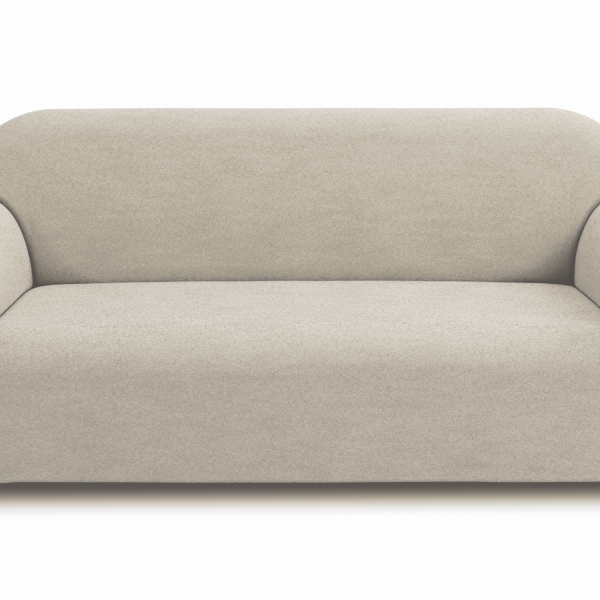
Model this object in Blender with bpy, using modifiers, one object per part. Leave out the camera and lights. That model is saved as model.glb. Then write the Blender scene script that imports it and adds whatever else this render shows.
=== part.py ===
"""A stretch slipcover for a three-seat sofa, cut and sewn as seven panels of one knitted cloth.

Metres, +Z up, the sofa's front toward -Y and its right-hand arm (seen from the front) toward +X.
The origin is on the lowest point of the hem, in the middle of the cover's width and depth.
The cover takes the outer form of the sofa under it: a back with rounded top corners, two
round-topped arms that splay a little, and a bench seat that rolls over its front edge.
Every panel is an open surface worked out on that form, given its thickness inward by Solidify.
Neighbouring panels share the points of their seam, and each is trimmed back from it by half the
stitched gap."""

import math

import bpy
import numpy as np

# --- cloth -----------------------------------------------------------------------------------
CLOTH = 0.002
SEAM_GAP = 0.0004

# --- back: a padded slab with rounded top corners ----------------------------------------------
BACK_HALF_WIDTH = 1.018
BACK_TOP = 0.888
BACK_CORNER = 0.30
BACK_RECLINE = 0.11
STEADY_RECLINE = 0.35
BACK_ROLL = 0.07
BACK_ROLL_DEPTH = 0.038
TOP_FALL = 0.018
TOP_FALL_POWER = 1.6
REAR_ROLL = 0.035

# --- seat: a bench with a crown and a front edge that rolls over as a quarter of an ellipse -------
SEAT_HEIGHT = 0.401
SEAT_DEPTH = 0.566
SEAT_ROLL = 0.10
SEAT_ROLL_DEPTH = 0.125
SEAT_CROWN = 0.010
SEAT_SIDE_DROP = 0.003
BULGE_FADE = 0.8

# --- arms: half-elliptical tops, splayed toward the front --------------------------------------
ARM_TOP = 0.649
ARM_INNER_HALF = 0.782
ARM_INNER_WIDTH = 0.125
ARM_SPRING = 0.01
ARM_OUTER_DROP = 0.20
ARM_OUTER_HALF = 1.065
ARM_INNER_SPLAY = 0.097
ARM_OUTER_SPLAY = 0.050
ARM_FRONT_ROLL = 0.035

# --- depth -------------------------------------------------------------------------------------
REAR_PLANE = 0.32
CREASE_Y = (SEAT_DEPTH + SEAT_CROWN + SEAT_SIDE_DROP - REAR_PLANE) / 2

# How far the front hem hangs above its lowest point: (across, lift).
FRONT_HEM = (
    (-0.82, 0.0030),
    (-0.75, 0.0092),
    (-0.70, 0.0106),
    (-0.62, 0.0115),
    (-0.50, 0.0122),
    (-0.30, 0.0107),
    (0.15, 0.0097),
    (0.33, 0.0104),
    (0.43, 0.0102),
    (0.50, 0.0082),
    (0.60, 0.0060),
    (0.68, 0.0033),
    (0.725, 0.0010),
    (0.76, 0.0),
    (0.82, 0.0030),
)
REST_HEM = 0.008
FRONT_HEM_START = 0.30
FRONT_HEM_BLEND = 0.25

# --- how finely each stretch is divided ----------------------------------------------------------
SEAT_COLUMNS = 20
SEAT_ROWS = 5
ROLL_ROWS = 3
DROP_ROWS = 5
ARM_FACE_ROWS = 9
ARM_RIM_ROWS = 5
ARM_OUTER_ROWS = 4
ARM_SIDE_ROWS = 3
BACK_COLUMNS = 12
TIGHT_ROLL_DEGREES = (25, 50, 72, 84, 90)
TURN_WEIGHT = 0.06
EDGE_CROWDING = 0.75
PATH_POINTS = 25
SETTLING_STEPS = 12
HALVINGS = 40

COLOUR = (0.40, 0.355, 0.29)


def hem_height(x, y):
    """Height of the hem: uneven along the front, level round the sides and the rear."""
    across, lift = zip(*FRONT_HEM)
    front = min(max((-y - FRONT_HEM_START) / FRONT_HEM_BLEND, 0), 1)
    return REST_HEM + front * (float(np.interp(x, across, lift)) - REST_HEM)


# --- the back's form -----------------------------------------------------------------------------
def face_depth(z):
    """Depth of the padded face at a height: nearly upright at the seat, leaning back more above."""
    h = (z - SEAT_HEIGHT) / (BACK_TOP - SEAT_HEIGHT)
    return BACK_RECLINE * (STEADY_RECLINE * h + (1 - STEADY_RECLINE) * max(h, 0) ** 2)


def outline_point(run):
    """Point and outward normal on the slab's outline, a run down from where the top's arc starts."""
    arc = BACK_CORNER * math.pi / 2
    angle = math.pi / 2 - min(run, arc) / BACK_CORNER
    normal = np.array([math.cos(angle), math.sin(angle)])
    centre = np.array([BACK_HALF_WIDTH - BACK_CORNER, BACK_TOP - BACK_CORNER])
    return centre + BACK_CORNER * normal - [0, max(run - arc, 0)], normal


def outline_run(x, z):
    """The run of the outline's point that is nearest to a place on the face."""
    arc = BACK_CORNER * math.pi / 2
    across, up = x - BACK_HALF_WIDTH + BACK_CORNER, z - BACK_TOP + BACK_CORNER
    if up <= 0:
        return arc - up
    return BACK_CORNER * math.atan2(across, up)


def rim_distance(x, z):
    """How far inside the slab's outline a place on the face lies."""
    across, up = x - BACK_HALF_WIDTH + BACK_CORNER, z - BACK_TOP + BACK_CORNER
    if across > 0 and up > 0:
        return BACK_CORNER - math.hypot(across, up)
    return min(BACK_HALF_WIDTH - x, BACK_TOP - z)


def roll_back(distance, radius):
    """How far a quarter-round edge has turned back at a distance in from the rim."""
    reach = radius - min(max(distance, 0), radius)
    return radius - math.sqrt(radius * radius - reach * reach)


def slab_depth(z, distance):
    """Depth of the slab's front at a height and a distance in from its rim. Its roll is a quarter of
    an ellipse."""
    return face_depth(z) + roll_back(distance, BACK_ROLL) * BACK_ROLL_DEPTH / BACK_ROLL


# --- the arms' form --------------------------------------------------------------------------------
def arm_widths(y):
    """Inner face, crest and outer face of an arm at a depth, as distances from the middle."""
    inner = ARM_INNER_HALF - ARM_INNER_SPLAY * min(y, 0)
    outer = ARM_OUTER_HALF - ARM_OUTER_SPLAY * y
    share = ARM_INNER_WIDTH / (ARM_OUTER_HALF - ARM_INNER_HALF)
    return inner, inner + share * (outer - inner), outer


def arm_point(y, turn, inset=0.0):
    """(x, z) on an arm's section. turn: below 0 on the upright inner face, 0 to 1 rounding up to the
    crest, 1 to 2 over the outside, 2 to 3 straight down to the hem."""
    inner, crest, outer = arm_widths(y)
    spring = SEAT_HEIGHT + ARM_SPRING
    rise = ARM_TOP - spring
    side = ARM_TOP - ARM_OUTER_DROP
    if turn < 0:
        place, normal = (inner, spring + turn * rise), (-1, 0)
    elif turn <= 1:
        c, s = math.cos(turn * math.pi / 2), math.sin(turn * math.pi / 2)
        place = (crest - (crest - inner) * c, spring + rise * s)
        normal = (-c / (crest - inner), s / rise)
    elif turn < 2:
        c, s = math.sin((turn - 1) * math.pi / 2), math.cos((turn - 1) * math.pi / 2)
        place = (crest + (outer - crest) * c, side + ARM_OUTER_DROP * s)
        normal = (c / (outer - crest), s / ARM_OUTER_DROP)
    else:
        place, normal = (outer, side + (turn - 2) * (hem_height(outer, y) - side)), (1, 0)
    return np.array(place) - inset * np.array(normal) / math.hypot(*normal)


def turn_at_height(z):
    """The turn of the inside face at a height."""
    spring = SEAT_HEIGHT + ARM_SPRING
    rise = (z - spring) / (ARM_TOP - spring)
    return math.asin(min(rise, 1)) * 2 / math.pi if rise > 0 else rise


def turn_where(reached, y, inset=0.0):
    """The turn between the seat and the outer side where reached(x, z) first becomes true."""
    low, high = 0.3, 2.0
    for _ in range(HALVINGS):
        middle = (low + high) / 2
        if reached(*arm_point(y, middle, inset)):
            high = middle
        else:
            low = middle
    return (low + high) / 2


# --- seam lines ------------------------------------------------------------------------------------
def back_arm_crease():
    """Where an arm runs into the back, from the seat to the back's side: rows of (x, y, z, turn)."""
    rows = []
    seat_turn, rim_turn = turn_at_height(SEAT_HEIGHT), crease_at_rim(BACK_ROLL)[3]
    for k in range(ARM_FACE_ROWS):
        turn, y = seat_turn + (rim_turn - seat_turn) * k / ARM_FACE_ROWS, 0.0
        for _ in range(SETTLING_STEPS):
            x, z = arm_point(y, turn)
            y = slab_depth(z, rim_distance(x, z))
        rows.append((x, y, z, turn))
    for k in range(ARM_RIM_ROWS + 1):
        lean = k / ARM_RIM_ROWS * math.pi / 2
        rows.append(crease_at_rim(BACK_ROLL * (1 - math.sin(lean))))
    return rows


def crease_at_rim(distance):
    """The crease's point at a distance in from the back's outline."""
    y = BACK_ROLL_DEPTH
    for _ in range(SETTLING_STEPS):
        turn = turn_where(lambda x, z: rim_distance(x, z) <= distance and x > ARM_INNER_HALF, y)
        x, z = arm_point(y, turn)
        y = slab_depth(z, distance)
    return x, y, z, turn


def ridge_point(y, inset, arm_inset):
    """Where the back's side, set in from its full outline, stands on an arm behind the padded roll."""
    turn = turn_where(lambda x, z: x >= BACK_HALF_WIDTH - inset, y, arm_inset)
    x, z = arm_point(y, turn, arm_inset)
    return x, y, z, turn


def back_ridge(start_y):
    """The rest of the back's seam along an arm's top, to the rear panel: rows of (x, y, z, turn)."""
    end_y = REAR_PLANE - REAR_ROLL
    rows = []
    for k in range(1, BACK_COLUMNS + 1):
        y = start_y + (end_y - start_y) * k / BACK_COLUMNS
        rows.append(ridge_point(y, 0.0, 0.0))
    for degrees in TIGHT_ROLL_DEGREES:
        inset, ahead = rolled(degrees, REAR_ROLL)
        rows.append(ridge_point(REAR_PLANE - ahead, inset, inset))
    return rows


def rolled(degrees, radius):
    """(inset, distance short of the flat plane) at an angle round a quarter-round edge."""
    angle = math.radians(degrees)
    return radius * (1 - math.cos(angle)), radius * (1 - math.sin(angle))


def rear_turn(degrees, fall):
    """The same for the back's rear edge, from the angle that the top has reached as it falls to the rear."""
    start = math.atan(TOP_FALL_POWER * fall / (REAR_PLANE - REAR_ROLL - BACK_RECLINE))
    angle = start + (math.pi / 2 - start) * degrees / 90
    return REAR_ROLL * (math.cos(start) - math.cos(angle)), REAR_ROLL * (1 - math.sin(angle))


def rear_inset(y):
    """How far the rear's quarter-round edge has turned in at a depth."""
    return roll_back(REAR_PLANE - y, REAR_ROLL)


def seat_profile():
    """The seat's line along an arm, from the back to the front plane: rows of
    (y, z, normal y, normal z, arm inset)."""
    roll_start = SEAT_ROLL_DEPTH - SEAT_DEPTH
    rows = []
    for k in range(SEAT_ROWS + 1):
        rows.append((roll_start * k / SEAT_ROWS, SEAT_HEIGHT, 0.0, 1.0, 0.0))
    arm_roll_start = math.asin(1 - ARM_FRONT_ROLL / SEAT_ROLL_DEPTH)
    angles = [(arm_roll_start * k / ROLL_ROWS, 0.0) for k in range(1, ROLL_ROWS + 1)]
    for degrees in TIGHT_ROLL_DEGREES:
        inset, ahead = rolled(degrees, ARM_FRONT_ROLL)
        angles.append((math.asin(1 - ahead / SEAT_ROLL_DEPTH), inset))
    for angle, inset in angles:
        ahead, down = SEAT_ROLL_DEPTH * math.sin(angle), SEAT_ROLL * (1 - math.cos(angle))
        out, up = SEAT_ROLL * math.sin(angle), SEAT_ROLL_DEPTH * math.cos(angle)
        size = math.hypot(out, up)
        rows.append((roll_start - ahead, SEAT_HEIGHT - down, -out / size, up / size, inset))
    return rows


def seat_bulge(q, drop=0.0):
    """How far the seat stands out at q, from -1 at the left arm to 1 at the right one: a broad crown
    with sides that round down into the creases. It fades down the front drop."""
    crown = SEAT_CROWN * (1 - q * q) + SEAT_SIDE_DROP * (1 - q**10)
    return crown * (1 - BULGE_FADE * drop)


def column_shares():
    """Places across the seat, from -1 to 1, closer together near the arms."""
    even = [2 * k / SEAT_COLUMNS - 1 for k in range(SEAT_COLUMNS + 1)]
    return [q + EDGE_CROWDING * (math.sin(q * math.pi / 2) - q) for q in even]


# --- panel grids -------------------------------------------------------------------------------------
def spread(path, count):
    """count + 1 points along a path of many points, closer together where it turns."""
    path = np.array(path)
    path = path[np.r_[True, np.linalg.norm(np.diff(path, axis=0), axis=1) > 1e-6]]
    legs = np.diff(path, axis=0)
    length = np.linalg.norm(legs, axis=1)
    heading = legs / length[:, None]
    turns = np.r_[0, np.arccos(np.clip((heading[1:] * heading[:-1]).sum(axis=1), -1, 1))]
    along = np.r_[0, np.cumsum(length + TURN_WEIGHT * turns)]
    wanted = np.linspace(0, along[-1], count + 1)
    return [tuple(np.interp(w, along, path[:, axis]) for axis in range(3)) for w in wanted]


def over_the_back(start, run=None, top_x=None, lean=0.0):
    """One strip of the inside back, from its seam at start (x, z) to the rear panel's seam. It ends
    at a run of the outline, or at a place on the top's straight stretch."""
    if top_x is None:
        rim, normal = outline_point(run)
    else:
        rim, normal = np.array([top_x, BACK_TOP]), np.array([0.0, 1.0])
    start, roll_start = np.array(start), rim - BACK_ROLL * normal
    path = []
    if lean == 0:
        for share in np.linspace(0, 1, PATH_POINTS)[:-1]:
            x, z = start + share * (roll_start - start)
            path.append((x, face_depth(z), z))
    for angle in np.linspace(lean, math.pi / 2, PATH_POINTS):
        x, z = rim - BACK_ROLL * (1 - math.sin(angle)) * normal
        path.append((x, face_depth(z) + BACK_ROLL_DEPTH * (1 - math.cos(angle)), z))
    fall = TOP_FALL * normal[1]
    top_y, end_y = path[-1][1], REAR_PLANE - rear_turn(0, fall)[1]
    for share in np.linspace(0, 1, PATH_POINTS)[1:]:
        x, z = rim - fall * share**TOP_FALL_POWER * normal
        path.append((x, top_y + share * (end_y - top_y), z))
    strip = spread(path, BACK_COLUMNS)
    for degrees in TIGHT_ROLL_DEGREES:
        inset, ahead = rear_turn(degrees, fall)
        x, z = rim - (fall + inset) * normal
        strip.append((x, REAR_PLANE - ahead, z))
    return strip


def mirrored(points):
    return [(-x, y, z) for x, y, z in points]


def inside_back_grid():
    crease = back_arm_crease()
    ridge = [row[:3] for row in back_ridge(crease[-1][1])]
    side = [[crease[-1][:3]] + ridge]
    for k in range(ARM_RIM_ROWS - 1, 0, -1):
        x, _, z, _ = crease[ARM_FACE_ROWS + k]
        side.append(over_the_back((x, z), outline_run(x, z), lean=k / ARM_RIM_ROWS * math.pi / 2))
    x, _, z, _ = crease[ARM_FACE_ROWS]
    crest_run = outline_run(x, z)
    for k in range(ARM_FACE_ROWS, -1, -1):
        x, _, z, _ = crease[k]
        side.append(over_the_back((x, z), crest_run * k / ARM_FACE_ROWS))
    middle = []
    for q in column_shares()[1:-1]:
        start = (q * ARM_INNER_HALF, SEAT_HEIGHT + seat_bulge(q))
        middle.append(over_the_back(start, top_x=q * (BACK_HALF_WIDTH - BACK_CORNER)))
    return [mirrored(strip) for strip in side] + middle + side[::-1]


def seat_front_grid():
    rows = []
    profile = seat_profile()
    for y, z, normal_y, normal_z, inset in profile:
        edge = arm_point(y, turn_at_height(z), inset)[0]
        row = []
        for q in column_shares():
            bulge = seat_bulge(q)
            settle = face_depth(z + bulge) if y == 0 else 0.0
            row.append((q * edge, y + settle + normal_y * bulge, z + normal_z * bulge))
        rows.append(row)
    front_y, edge_z = profile[-1][0], profile[-1][1]
    for k in range(1, DROP_ROWS + 1):
        row = []
        for q in column_shares():
            x = q * edge
            z = edge_z + (hem_height(x, front_y) - edge_z) * k / DROP_ROWS
            row.append((x, front_y - seat_bulge(q, k / DROP_ROWS), z))
        rows.append(row)
    return rows


def arm_wrap_grid():
    """The right arm's panel. Its first rows stop at the back's crease; the rest run to the rear."""
    crease = back_arm_crease()
    ridge = back_ridge(crease[-1][1])
    ridge_row, seat_turn, top_turn = len(crease) - 1, crease[0][3], crease[-1][3]
    roll_start = SEAT_ROLL_DEPTH - SEAT_DEPTH
    grid = []
    for i in range(ridge_row + ARM_OUTER_ROWS + ARM_SIDE_ROWS + 1):
        row = []
        for _, y, _, turn in ridge[::-1]:
            if i < ridge_row:
                row.append(None)
                continue
            x, z = arm_point(y, outer_turn(turn, i - ridge_row), rear_inset(y))
            row.append((x, y, z))
        for y, z, _, _, inset in seat_profile():
            start = turn_at_height(z)
            if i <= ridge_row:
                turn = start + (top_turn - start) * (crease[i][3] - seat_turn) / (top_turn - seat_turn)
                back_y = crease[i][1]
            else:
                turn = outer_turn(top_turn, i - ridge_row)
                back_y = crease[-1][1]
            place_y = y + max(1 - y / roll_start, 0) * back_y
            x, z = arm_point(place_y, turn, inset)
            row.append((x, place_y, z))
        grid.append(row)
    return grid


def outer_turn(start, step):
    """The turn of a row outside the ridge."""
    if step <= ARM_OUTER_ROWS:
        return start + (2 - start) * step / ARM_OUTER_ROWS
    return 2 + (step - ARM_OUTER_ROWS) / ARM_SIDE_ROWS


# --- objects ---------------------------------------------------------------------------------------
def clear_scene():
    for scene_object in list(bpy.data.objects):
        bpy.data.objects.remove(scene_object, do_unlink=True)


def cloth_material(name, colour):
    material = bpy.data.materials.new(name)
    material.use_nodes = True
    surface = material.node_tree.nodes["Principled BSDF"]
    surface.inputs["Base Color"].default_value = (*colour, 1)
    surface.inputs["Roughness"].default_value = 0.95
    surface.inputs["Metallic"].default_value = 0.0
    return material


def trim(points, faces):
    """The points, with each one on the panel's edge moved in by half the gap of a seam."""
    owner = {}
    for face in faces:
        for a, b in zip(face, face[1:] + face[:1]):
            owner[(a, b)] = face
    moves = {}
    for (a, b), face in owner.items():
        if (b, a) in owner:
            continue
        along = points[b] - points[a]
        inward = points[face].mean(axis=0) - points[a]
        inward -= along * inward.dot(along) / along.dot(along)
        inward /= np.linalg.norm(inward)
        for end in (a, b):
            moves.setdefault(end, []).append(inward)
    trimmed = points.copy()
    for index, inward in moves.items():
        total = np.sum(inward, axis=0)
        trimmed[index] += total * SEAM_GAP / 2 * len(inward) / total.dot(total)
    return trimmed


def add_panel(name, grid, material, collection):
    """A panel from rows of points, some of which may be missing, as a shell of the cloth."""
    number, points, faces = {}, [], []
    for i, row in enumerate(grid):
        for j, point in enumerate(row):
            if point is not None:
                number[i, j] = len(points)
                points.append(point)
    for i in range(len(grid) - 1):
        for j in range(len(grid[0]) - 1):
            corners = [(i, j), (i + 1, j), (i + 1, j + 1), (i, j + 1)]
            if all(corner in number for corner in corners):
                faces.append([number[corner] for corner in corners])
    placed = trim(np.array(points), faces) + [0, CREASE_Y, 0]
    mesh = bpy.data.meshes.new(name)
    mesh.from_pydata(placed.tolist(), [], faces)
    mesh.shade_smooth()
    mesh.materials.append(material)
    panel = bpy.data.objects.new(name, mesh)
    collection.objects.link(panel)
    shell = panel.modifiers.new("Cloth", "SOLIDIFY")
    shell.thickness = CLOTH
    shell.offset = -1
    shell.use_even_offset = True
    return panel


def add_flat_panel(name, outline, plane_y, inner_side, material, collection):
    """An upright flat panel from its outline of (x, z), its cloth on the inner side of the plane."""
    ring = np.array(outline)
    area = np.sum(ring[:, 0] * np.roll(ring[:, 1], -1) - np.roll(ring[:, 0], -1) * ring[:, 1])
    ring = ring if area > 0 else ring[::-1]
    ahead = np.roll(ring, -1, axis=0) - ring
    ahead /= np.linalg.norm(ahead, axis=1)[:, None]
    normals = np.c_[-ahead[:, 1], ahead[:, 0]]
    both = normals + np.roll(normals, 1, axis=0)
    ring = ring + both * SEAM_GAP / (both * both).sum(axis=1)[:, None]
    curve = bpy.data.curves.new(name, "CURVE")
    curve.dimensions = "2D"
    curve.fill_mode = "BOTH"
    curve.extrude = CLOTH / 2
    spline = curve.splines.new("POLY")
    spline.points.add(len(ring) - 1)
    for spot, (x, z) in zip(spline.points, ring):
        spot.co = (x, z, 0, 1)
    spline.use_cyclic_u = True
    curve.materials.append(material)
    panel = bpy.data.objects.new(name, curve)
    panel.location = (0, CREASE_Y + plane_y + inner_side * CLOTH / 2, 0)
    panel.rotation_euler = (math.pi / 2, 0, 0)
    collection.objects.link(panel)
    return panel


def across(points):
    return [(x, z) for x, _, z in points]


def main():
    clear_scene()
    collection = bpy.data.collections.new("sofa_slipcover")
    bpy.context.scene.collection.children.link(collection)

    def cloth(part):
        return cloth_material(part + "_cloth", COLOUR)

    back = inside_back_grid()
    seat = seat_front_grid()
    wrap = arm_wrap_grid()
    add_panel("inside_back", back, cloth("inside_back"), collection)
    add_panel("seat_front", seat, cloth("seat_front"), collection)

    arm_rear = [row[0] for row in wrap if row[0] is not None][::-1]
    rear_seam = mirrored(arm_rear) + [strip[-1] for strip in back][1:-1] + arm_rear[::-1]
    add_flat_panel("outside_back", across(rear_seam), REAR_PLANE, -1, cloth("outside_back"), collection)

    arm_seam = [row[-1] for row in wrap]
    seat_side = [row[-1] for row in seat[-DROP_ROWS:]][::-1]
    front = arm_seam + seat_side
    for side, name in ((-1, "left"), (1, "right")):
        grid = [[point and (side * point[0], point[1], point[2]) for point in row] for row in wrap]
        if side > 0:
            grid = [row[::-1] for row in grid]
        add_panel("arm_wrap_" + name, grid, cloth("arm_wrap_" + name), collection)
        outline = [(side * x, z) for x, z in across(front)]
        add_flat_panel("arm_front_" + name, outline, -SEAT_DEPTH, 1, cloth("arm_front_" + name), collection)


main()
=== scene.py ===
"""Looks of the sofa slipcover: seven panels of one melange knit, stretched over a sofa's form.

Metres, in the CAD part's own frame. The panels are worked out on the same form as the CAD panels, on
finer grids, and keep the CAD panels' names with "_cloth" added. Each seam's points are shared by the
panels that meet there. At a crease the cloth of both panels is tucked in toward the crevice, and at an
outer seam it is drawn in a little. The few slack places are soft troughs and ridges placed one by one."""

import math

import bpy
import numpy as np
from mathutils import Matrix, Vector, noise
from mathutils.geometry import delaunay_2d_cdt
from mathutils.kdtree import KDTree


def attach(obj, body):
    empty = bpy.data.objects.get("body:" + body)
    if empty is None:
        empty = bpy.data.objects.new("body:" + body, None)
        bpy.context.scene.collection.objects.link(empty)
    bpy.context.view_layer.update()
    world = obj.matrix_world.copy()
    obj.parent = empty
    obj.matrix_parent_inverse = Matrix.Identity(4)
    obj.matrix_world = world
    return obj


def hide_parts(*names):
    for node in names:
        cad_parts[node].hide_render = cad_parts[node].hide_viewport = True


# --- the form, as in the CAD part ---
CLOTH = 0.002
BACK_HALF_WIDTH = 1.018
BACK_TOP = 0.888
BACK_CORNER = 0.3
BACK_RECLINE = 0.11
STEADY_RECLINE = 0.35
BACK_ROLL = 0.07
BACK_ROLL_DEPTH = 0.038
TOP_FALL = 0.018
TOP_FALL_POWER = 1.6
REAR_ROLL = 0.035
SEAT_HEIGHT = 0.401
SEAT_DEPTH = 0.566
SEAT_ROLL = 0.1
SEAT_ROLL_DEPTH = 0.125
SEAT_CROWN = 0.01
SEAT_SIDE_DROP = 0.003
SIDE_DROP_POWER = 10
BULGE_FADE = 0.8
ARM_TOP = 0.649
ARM_INNER_HALF = 0.782
ARM_INNER_WIDTH = 0.125
ARM_SPRING = 0.01
ARM_OUTER_DROP = 0.2
ARM_OUTER_HALF = 1.065
ARM_INNER_SPLAY = 0.097
ARM_OUTER_SPLAY = 0.05
ARM_FRONT_ROLL = 0.035
REAR_PLANE = 0.32
CREASE_Y = (SEAT_DEPTH + SEAT_CROWN + SEAT_SIDE_DROP - REAR_PLANE) / 2
# (across, height) of the front hem
FRONT_HEM = (
    (-0.82, 0.003), (-0.75, 0.0092), (-0.7, 0.0106), (-0.62, 0.0115), (-0.5, 0.0122),
    (-0.3, 0.0107), (0.15, 0.0097), (0.33, 0.0104), (0.43, 0.0102), (0.5, 0.0082), (0.6, 0.006),
    (0.68, 0.0033), (0.725, 0.001), (0.76, 0.0), (0.82, 0.003),
)
REST_HEM = 0.008
FRONT_HEM_START = 0.3
FRONT_HEM_BLEND = 0.25

# --- how finely each stretch is divided ---
SEAT_COLUMNS = 170
SEAT_ROWS = 52
ROLL_ROWS = 16
DROP_ROWS = 36
ARM_FACE_ROWS = 40
ARM_RIM_ROWS = 12
ARM_OUTER_ROWS = 22
ARM_SIDE_ROWS = 30
BACK_STEPS = 78
TIGHT_ROLL_DEGREES = (12, 24, 36, 48, 58, 67, 75, 82, 87, 90)
FLAT_SPACING = 0.016
# near an end, steps start at this share of the others and grow over this distance
FINE_SHARE = 0.22
FINE_ZONE = 0.09
CREASE_LENGTH = 0.3
SETTLING_STEPS = 12
HALVINGS = 40
GRADING_STEPS = 900
# steps up the back's face, round its roll and along its top, before a strip is divided evenly
STRIP_STEPS = (240, 160, 100)
REAR_HEM_STEPS = 120
ARM_HEM_STEPS = 24
# a flat panel's row spacing, and how near its edge its inner points come, in parts of FLAT_SPACING
ROW_SHARE = 0.87
EDGE_SHARE = 0.55
# how far the grain is drawn out along the depth of the seat and the back, and along an arm
DEPTH_DRAW = 3.0
ARM_DRAW = 4.5

# --- seams ---
# (depth of the tuck, its reach on the first panel, its reach on the second, depth of the narrow groove at
# the seam), with the panels in the order in which seam_list names them
SEAT_CREASE = (0.02, 0.007, 0.044, 0.004)
ARM_CREASES = ((0.012, 0.016, 0.006, 0.044), (0.012, 0.022, 0.006, 0.038))
ARM_SEATS = ((0.006, 0.045, 0.006, 0.006), (0.015, 0.065, 0.006, 0.006))
BACK_RIDGE = (0.006, 0.012, 0.012, 0.004)
PLAIN_SEAM = (0.0012, 0.006, 0.006, 0.0)
# how wide the groove is on the first panel and on the others
GROOVE_WIDE = 0.017
GROOVE_NARROW = 0.006
# how much an arm's own slope turns the way that its crease is drawn in
ARM_SHARE = 0.35
INWARD_SMOOTHING = 6
STITCH_REACH = 0.012
STITCH_ROUNDS = 3

# --- pockets and corners ---
# (side, reach toward the middle, reach upward, depth, how sharply it falls, how far it reaches in behind
# the arm's edge, as a share of its depth) of each corner
POCKETS = ((1, 0.28, 0.19, 0.158, 2.3, 0.21), (-1, 0.22, 0.22, 0.056, 1.5, 0.01))
# under 1, which curves the edge of a pocket in toward its corner
POCKET_HOLLOW = 0.75
# how far ahead of the crease a pocket begins, and how far it drops as a share of its depth
POCKET_REACH = 0.045
POCKET_FALL = 0.25
# where a pocket's pull begins to fade toward the rear, and where it has faded toward the arm's outside
POCKET_REAR = 0.1
POCKET_SIDE = 0.88
# (side, reach toward the middle, reach forward, depth) of the rounding of each seat corner
CORNER_DROPS = ((1, 0.13, 0.12, 0.003), (-1, 0.09, 0.12, 0.002))
CORNER_POWER = 1.4
# the height above the seat where the rounding and the fullness begin to fade out, and over how much
CORNER_TOP = 0.02
CORNER_FADE = 0.05
# where the seat's front corners stand fullest, and (side, spread across, spread ahead, rise) of each
FULL_ACROSS = 0.82
FULL_AHEAD = 0.515
FULL_CORNERS = ((1, 0.19, 0.06, 0.022), (-1, 0.16, 0.06, 0.012))

# --- slack ---
# how far the hem stands out, and how high above it the cloth begins to
HEM_FLARE = 0.0035
HEM_BAND = 0.03
# (size, rise) of the swells all over
SWELLS = ((0.045, 0.00022), (0.11, 0.0007), (0.26, 0.0014))
# (start, end, half-width, rise) of each placed ridge, or trough where the rise is below 0. The ends are
# (across, depth) on the seat and (across, height) on its front and on the inside back.
SEAT_FOLDS = (
    ((0.7, -0.06), (0.8, -0.17), 0.008, 0.0016),
    ((0.67, -0.1), (0.78, -0.22), 0.009, -0.0014),
    ((0.64, -0.13), (0.76, -0.28), 0.01, 0.0012),
    ((0.28, -0.06), (0.52, -0.09), 0.012, -0.001),
    ((0.33, -0.12), (0.58, -0.13), 0.012, 0.0009),
    ((-0.2, -0.16), (0.02, -0.14), 0.012, 0.0009),
    ((-0.66, -0.34), (-0.42, -0.37), 0.014, 0.0011),
    ((-0.5, -0.24), (-0.28, -0.22), 0.014, -0.0009),
    ((0.05, -0.31), (0.3, -0.33), 0.014, 0.0009),
    ((0.5, -0.36), (0.74, -0.33), 0.013, 0.001),
)
FRONT_FOLDS = (
    ((-0.6, 0.27), (-0.5, 0.14), 0.014, 0.0012),
    ((-0.56, 0.29), (-0.45, 0.16), 0.013, -0.0011),
    ((-0.4, 0.14), (-0.28, 0.03), 0.013, -0.0012),
    ((-0.34, 0.16), (-0.22, 0.04), 0.012, 0.001),
    ((0.06, 0.28), (0.1, 0.12), 0.018, 0.0012),
    ((0.4, 0.11), (0.52, 0.02), 0.013, 0.001),
)
BACK_FOLDS = (
    ((-0.95, 0.63), (-0.72, 0.45), 0.03, 0.0022),
    ((0.93, 0.63), (0.66, 0.47), 0.028, 0.002),
    ((-0.55, 0.7), (-0.4, 0.62), 0.02, -0.0008),
    ((0.1, 0.66), (0.3, 0.6), 0.022, 0.0008),
    ((-0.2, 0.52), (0.05, 0.49), 0.02, -0.0008),
)
# (panel, the axes of the ends, folds)
FOLDS = (
    ("seat_front", [0, 1], SEAT_FOLDS),
    ("seat_front", [0, 2], FRONT_FOLDS),
    ("inside_back", [0, 2], BACK_FOLDS),
)
# how bluntly a fold fades toward its ends, and the share of its length left out of that
FOLD_POWER = 0.7
FOLD_ENDS = 0.02
# how far apart the noise starts for each panel, and for each size of swell
SWELL_PANEL_SHIFT = 7.3
SWELL_SIZE_SHIFT = 31

# --- fibres, floor, light, tone and camera ---
DARK_FIBRE = (0.24, 0.205, 0.159)
PALE_FIBRE = (0.505, 0.454, 0.378)
# painted light: the arms' panels get a lighter copy of the knit, which stands for more light falling on them
ARM_PAINTED_LIGHT = 1.065
# how much more the fibres contrast where the cloth faces up, and how level it has to lie for that
LIT_CONTRAST = 1.8
LEVEL_POWER = 20.0
# (coordinates, cell width, cell length, detail, how much it tints, how high it stands in metres)
FIBRES = (
    ("grain", 0.0024, 0.0024, 1.0, 1.76, 0.00045),
    ("grain", 0.0028, 0.008, 1.0, 0.6, 0.00028),
    ("grain", 0.011, 0.003, 1.0, 0.57, 0.00028),
    ("cloth", 0.015, 0.015, 1.0, 0.25, 0.0),
    ("cloth", 0.1, 0.024, 1.0, 0.23, 0.0),
    ("cloth", 0.14, 0.09, 0.0, 0.12, 0.0),
)
# how far apart the layers' noise starts, along and across, and how much their finer noise adds
LAYER_SHIFT = 3.1
LAYER_SLANT = 0.7
FIBRE_ROUGHNESS = 0.6
KNIT_SURFACE = {"Roughness": 0.95, "Sheen Weight": 0.25, "Sheen Roughness": 0.5, "Specular IOR Level": 0.2}

FLOOR_Z = -0.018
FLOOR_HALF = 6.0
# the floor as it lights the cover from below
FLOOR_SURFACE = {"Base Color": (0.82, 0.82, 0.82, 1), "Roughness": 0.9, "Specular IOR Level": 0.0}
# the cover's foot on it
FOOT_HALF_WIDTH = 1.07
FOOT_HALF_DEPTH = 0.435
# the brightness that the picture shows as white
WHITE = 1.32
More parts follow.
